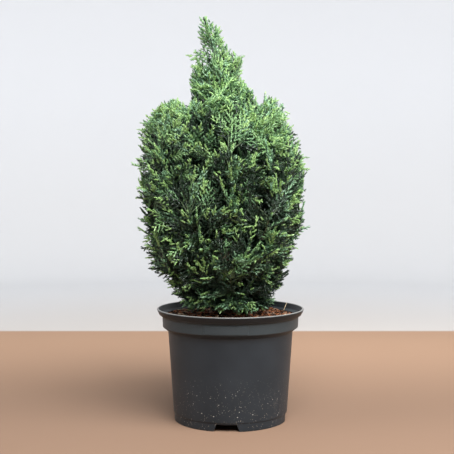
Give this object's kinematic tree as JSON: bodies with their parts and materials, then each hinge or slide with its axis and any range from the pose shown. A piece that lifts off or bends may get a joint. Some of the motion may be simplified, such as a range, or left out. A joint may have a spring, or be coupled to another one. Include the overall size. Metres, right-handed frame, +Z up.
{
  "type": "potted lawson cypress",
  "caption": "Young upright evergreen conifer, a dense egg-shaped crown of feathery sprays with a leaning tip, in a round plastic nursery pot filled with bark mix.",
  "frame": {"origin": "middle of the pot's flat underside, on the surface that the pot stands on", "axes": "+Z up, along the trunk; the viewer of the picture looks along +Y, and the crown's tip leans to -X"},
  "size_m": [0.2682, 0.27, 0.6206],
  "materials": {
    "pot_plastic": "charcoal injection moulded plastic, satin, with a little dust",
    "potting_mix": "reddish brown bark chips and peat, rough",
    "bark": "thin brown bark, rough and stringy",
    "foliage": "blue green scale leaves with yellow green tips"
  },
  "bodies": {
    "root": {"bough_lower_1": "bark", "bough_lower_2": "bark", "bough_lower_3": "bark", "bough_lower_4": "bark", "bough_lower_5": "bark", "bough_lower_6": "bark", "bough_middle_1": "bark", "bough_middle_2": "bark", "bough_middle_3": "bark", "bough_middle_4": "bark", "bough_middle_5": "bark", "bough_middle_6": "bark", "bough_neck_1": "bark", "bough_neck_2": "bark", "bough_neck_3": "bark", "bough_neck_4": "bark", "bough_shoulder_1": "bark", "bough_shoulder_2": "bark", "bough_shoulder_3": "bark", "bough_shoulder_4": "bark", "bough_shoulder_5": "bark", "bough_shoulder_6": "bark", "bough_skirt_1": "bark", "bough_skirt_2": "bark", "bough_skirt_3": "bark", "bough_skirt_4": "bark", "bough_skirt_5": "bark", "foliage_leader": "foliage", "foliage_lower_1": "foliage", "foliage_lower_2": "foliage", "foliage_lower_3": "foliage", "foliage_lower_4": "foliage", "foliage_lower_5": "foliage", "foliage_lower_6": "foliage", "foliage_middle_1": "foliage", "foliage_middle_2": "foliage", "foliage_middle_3": "foliage", "foliage_middle_4": "foliage", "foliage_middle_5": "foliage", "foliage_middle_6": "foliage", "foliage_neck_1": "foliage", "foliage_neck_2": "foliage", "foliage_neck_3": "foliage", "foliage_neck_4": "foliage", "foliage_shoulder_1": "foliage", "foliage_shoulder_2": "foliage", "foliage_shoulder_3": "foliage", "foliage_shoulder_4": "foliage", "foliage_shoulder_5": "foliage", "foliage_shoulder_6": "foliage", "foliage_skirt_1": "foliage", "foliage_skirt_2": "foliage", "foliage_skirt_3": "foliage", "foliage_skirt_4": "foliage", "foliage_skirt_5": "foliage", "pot": "pot_plastic", "potting_mix": "potting_mix", "trunk": "bark"}
  },
  "joints": []
}
